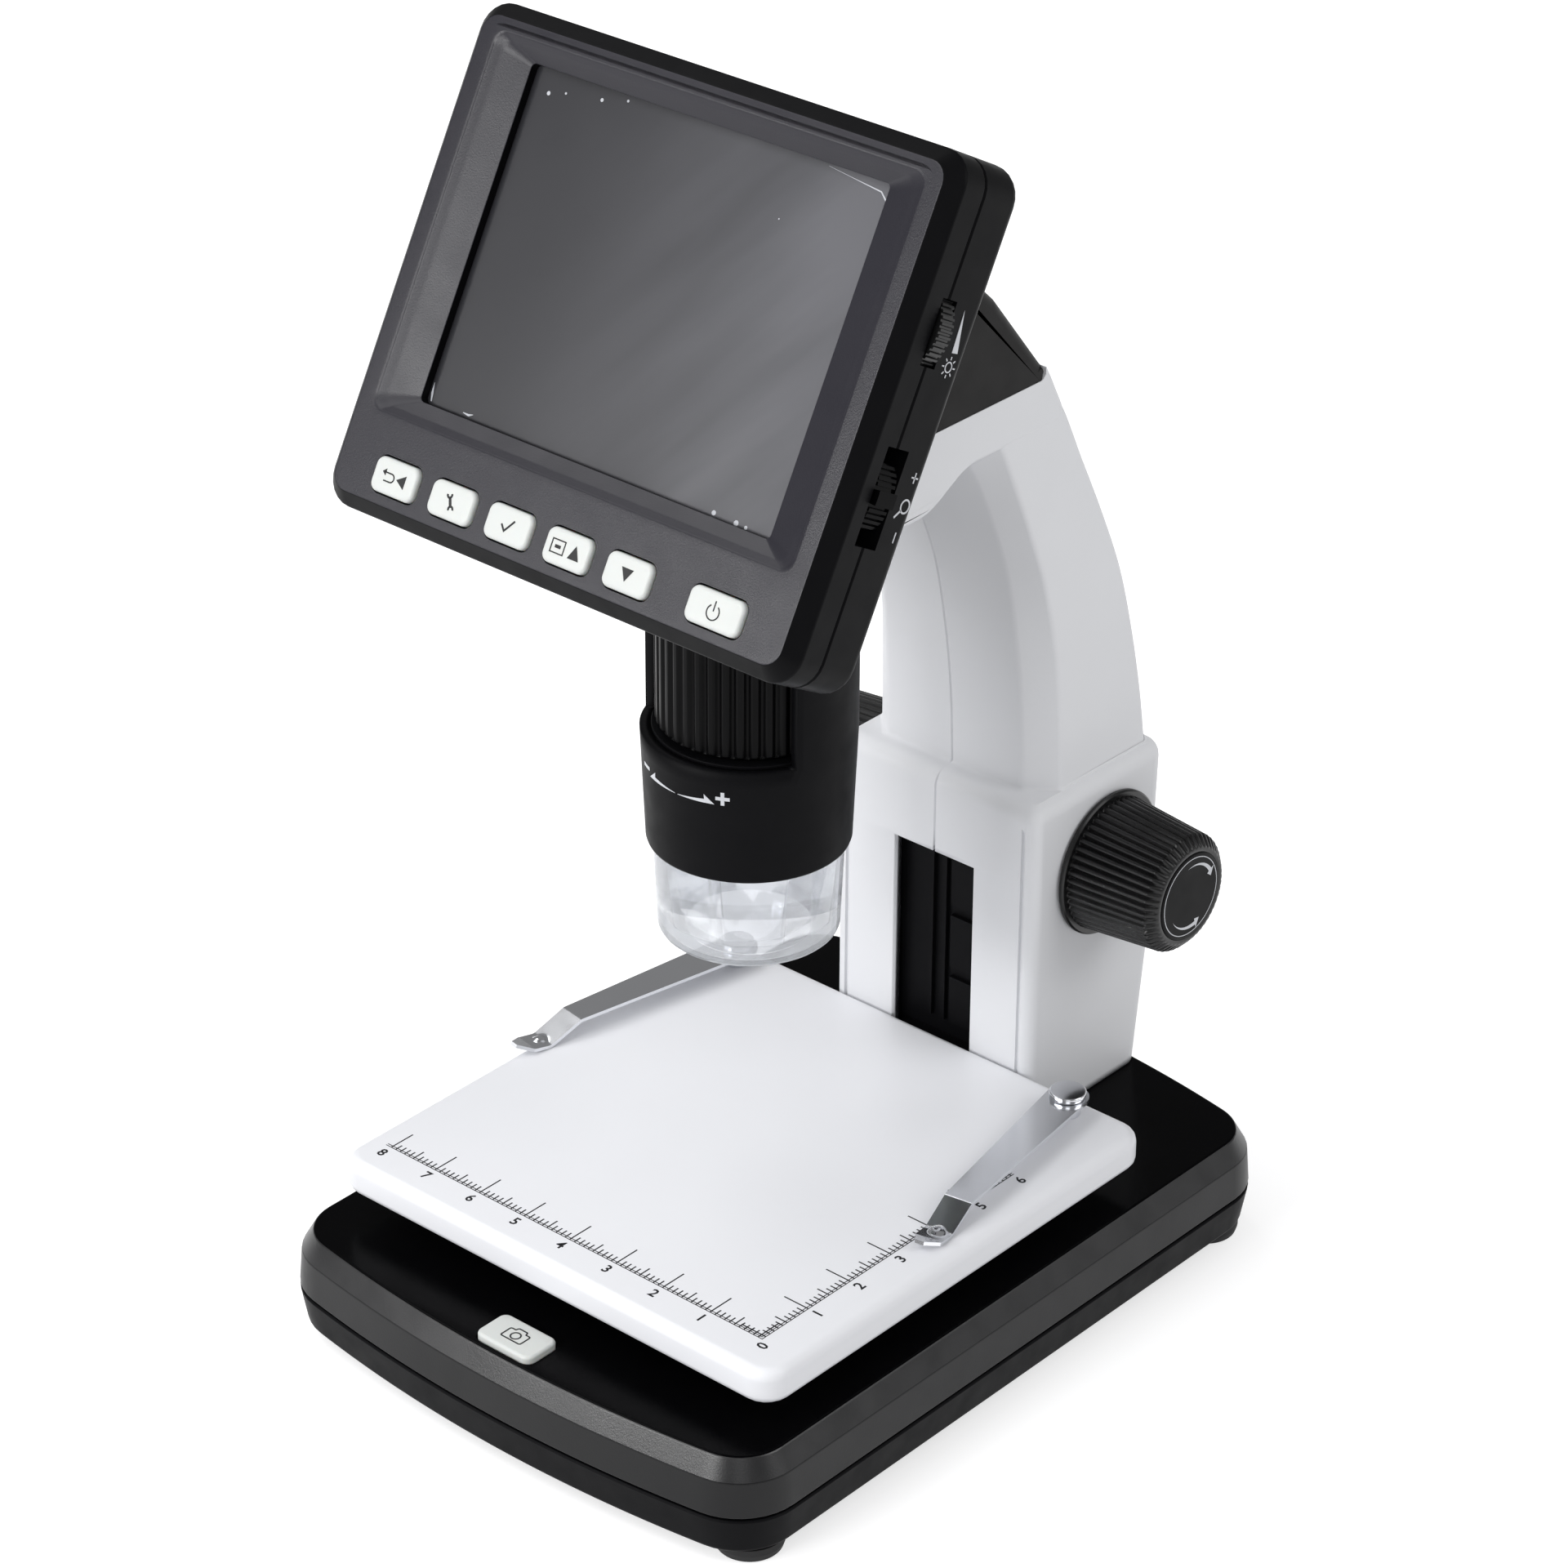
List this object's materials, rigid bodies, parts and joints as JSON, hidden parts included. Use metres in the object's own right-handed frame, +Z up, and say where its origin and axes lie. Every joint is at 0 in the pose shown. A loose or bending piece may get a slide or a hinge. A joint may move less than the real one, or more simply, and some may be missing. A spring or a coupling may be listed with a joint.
{
  "type": "lcd digital microscope",
  "caption": "Desktop digital microscope: tilted display head on a white arched column, clear-cupped lens unit, rising specimen stage with ruler and clips, bow-fronted base.",
  "frame": {"origin": "centre of the model's box on the floor, midway between the base front and the column back, on the centre plane of the column", "axes": "+Z up, -Y is the front where the operator sits, +X to the operator's right"},
  "size_m": [0.104, 0.1439, 0.2183],
  "materials": {
    "battery_wrap": "film",
    "bezel_shell": "fine texture, satin",
    "black_gloss_shell": "gloss",
    "black_shell": "satin",
    "brass_bush": "turned",
    "chip": "matt",
    "chrome_clip": "polished",
    "circuit_board": "lacquer",
    "clear_plastic": "clear",
    "foot_rubber": "matt",
    "knob_black": "satin",
    "knob_disc": "satin",
    "lcd_black": "gloss",
    "led": "gloss",
    "lens_glass": "coated",
    "rack_plastic": "satin",
    "screen_glass": "clear",
    "socket_metal": "tinned",
    "stage_white": "smooth, semi-gloss",
    "steel_screw": "zinc",
    "steel_shaft": "turned",
    "white_key": "satin",
    "white_shell": "fine texture, satin"
  },
  "bodies": {
    "frame": {"base_upper_cover": "black_gloss_shell", "base_lower_tray": "black_shell", "rubber_feet": "foot_rubber", "base_screws": "steel_screw", "battery_pack": "battery_wrap", "snapshot_board": "circuit_board", "snapshot_board_posts": "black_shell", "column_left_shell": "white_shell", "column_right_shell": "white_shell", "column_screws": "steel_screw", "shell_screws": "steel_screw", "shaft_bushes": "brass_bush", "head_lower_housing": "white_shell", "head_upper_housing": "black_shell", "lens_hood": "black_shell", "lens_barrel": "black_shell", "led_ring_board": "circuit_board", "ring_leds": "led", "sensor_board": "circuit_board", "image_sensor": "chip", "light_cup": "clear_plastic", "display_rear_shell": "black_shell", "display_bezel": "bezel_shell", "lcd_panel": "lcd_black", "screen_window": "screen_glass", "main_board": "circuit_board", "board_chips": "chip", "key_board": "circuit_board", "key_switches": "chip", "wheel_potentiometer": "chip", "zoom_switch": "chip", "usb_socket": "socket_metal", "card_socket": "socket_metal"},
    "stage": {"stage_plate": "stage_white", "stage_carriage": "black_shell", "stage_rack": "rack_plastic", "stage_screws": "steel_screw", "clip_post_left": "chrome_clip", "clip_post_right": "chrome_clip"},
    "left_clip": {"clip_left": "chrome_clip"},
    "right_clip": {"clip_right": "chrome_clip"},
    "focus_drive": {"focus_shaft": "steel_shaft", "drive_pinion": "brass_bush", "knob_left": "knob_black", "knob_right": "knob_black", "knob_cap_left": "knob_disc", "knob_cap_right": "knob_disc"},
    "lens_ring": {"focus_ring": "black_shell"},
    "lens_carrier": {"lens_cell": "black_shell", "objective_lens": "lens_glass"},
    "wheel": {"brightness_wheel": "knob_black"},
    "zoom": {"zoom_rocker": "black_gloss_shell"},
    "snapshot": {"snapshot_button": "white_key"},
    "back_button": {"back_key": "white_key"},
    "settings_button": {"settings_key": "white_key"},
    "confirm_button": {"confirm_key": "white_key"},
    "mode_up_button": {"mode_up_key": "white_key"},
    "down_button": {"down_key": "white_key"},
    "power_button": {"power_key": "white_key"}
  },
  "joints": [
    {"name": "stage_lift", "type": "slide", "parent": "frame", "child": "stage", "axis": [0, 0, 1], "range_m": [-0.0045, 0.01]},
    {"name": "focus_knobs_turn", "type": "hinge", "parent": "frame", "child": "focus_drive", "pos_m": [0, 0.05535, 0.064], "axis": [1, 0, 0], "range_deg": [-120, 54.5]},
    {"name": "left_clip_swivel", "type": "hinge", "parent": "stage", "child": "left_clip", "pos_m": [-0.0387, 0.0309, 0.034], "axis": [0, 0, 1], "range_deg": [-20, 70]},
    {"name": "right_clip_swivel", "type": "hinge", "parent": "stage", "child": "right_clip", "pos_m": [0.034, 0.0313, 0.034], "axis": [0, 0, 1], "range_deg": [-70, 20]},
    {"name": "lens_ring_turn", "type": "hinge", "parent": "frame", "child": "lens_ring", "pos_m": [0, -0.00955, 0.12], "axis": [0, 0, 1], "range_deg": [-130, 130]},
    {"name": "lens_carrier_slide", "type": "slide", "parent": "frame", "child": "lens_carrier", "axis": [0, 0, 1], "range_m": [-0.0015, 0.0015]},
    {"name": "wheel_turn", "type": "hinge", "parent": "frame", "child": "wheel", "pos_m": [0.0405, -0.02255, 0.1937], "axis": [0, -0.8746, 0.4848], "range_deg": [-140, 140]},
    {"name": "zoom_rock", "type": "hinge", "parent": "frame", "child": "zoom", "pos_m": [0.035, -0.03452, 0.1721], "axis": [0, -0.8746, 0.4848], "range_deg": [-9, 9], "stiffness_Nm_per_rad": 0.02},
    {"name": "snapshot_press", "type": "slide", "parent": "frame", "child": "snapshot", "axis": [0, 0, -1], "range_m": [0, 0.0008], "stiffness_N_per_m": 400},
    {"name": "back_press", "type": "slide", "parent": "frame", "child": "back_button", "axis": [0, 0.8746, -0.4848], "range_m": [0, 0.0005], "stiffness_N_per_m": 400},
    {"name": "settings_press", "type": "slide", "parent": "frame", "child": "settings_button", "axis": [0, 0.8746, -0.4848], "range_m": [0, 0.0005], "stiffness_N_per_m": 400},
    {"name": "confirm_press", "type": "slide", "parent": "frame", "child": "confirm_button", "axis": [0, 0.8746, -0.4848], "range_m": [0, 0.0005], "stiffness_N_per_m": 400},
    {"name": "mode_up_press", "type": "slide", "parent": "frame", "child": "mode_up_button", "axis": [0, 0.8746, -0.4848], "range_m": [0, 0.0005], "stiffness_N_per_m": 400},
    {"name": "down_press", "type": "slide", "parent": "frame", "child": "down_button", "axis": [0, 0.8746, -0.4848], "range_m": [0, 0.0005], "stiffness_N_per_m": 400},
    {"name": "power_press", "type": "slide", "parent": "frame", "child": "power_button", "axis": [0, 0.8746, -0.4848], "range_m": [0, 0.0005], "stiffness_N_per_m": 400}
  ],
  "couplings": [
    {"joint": "focus_knobs_turn", "follows": "stage_lift", "rad_per_m": -208.33},
    {"joint": "lens_ring_turn", "follows": "lens_carrier_slide", "rad_per_m": 1512.6}
  ]
}
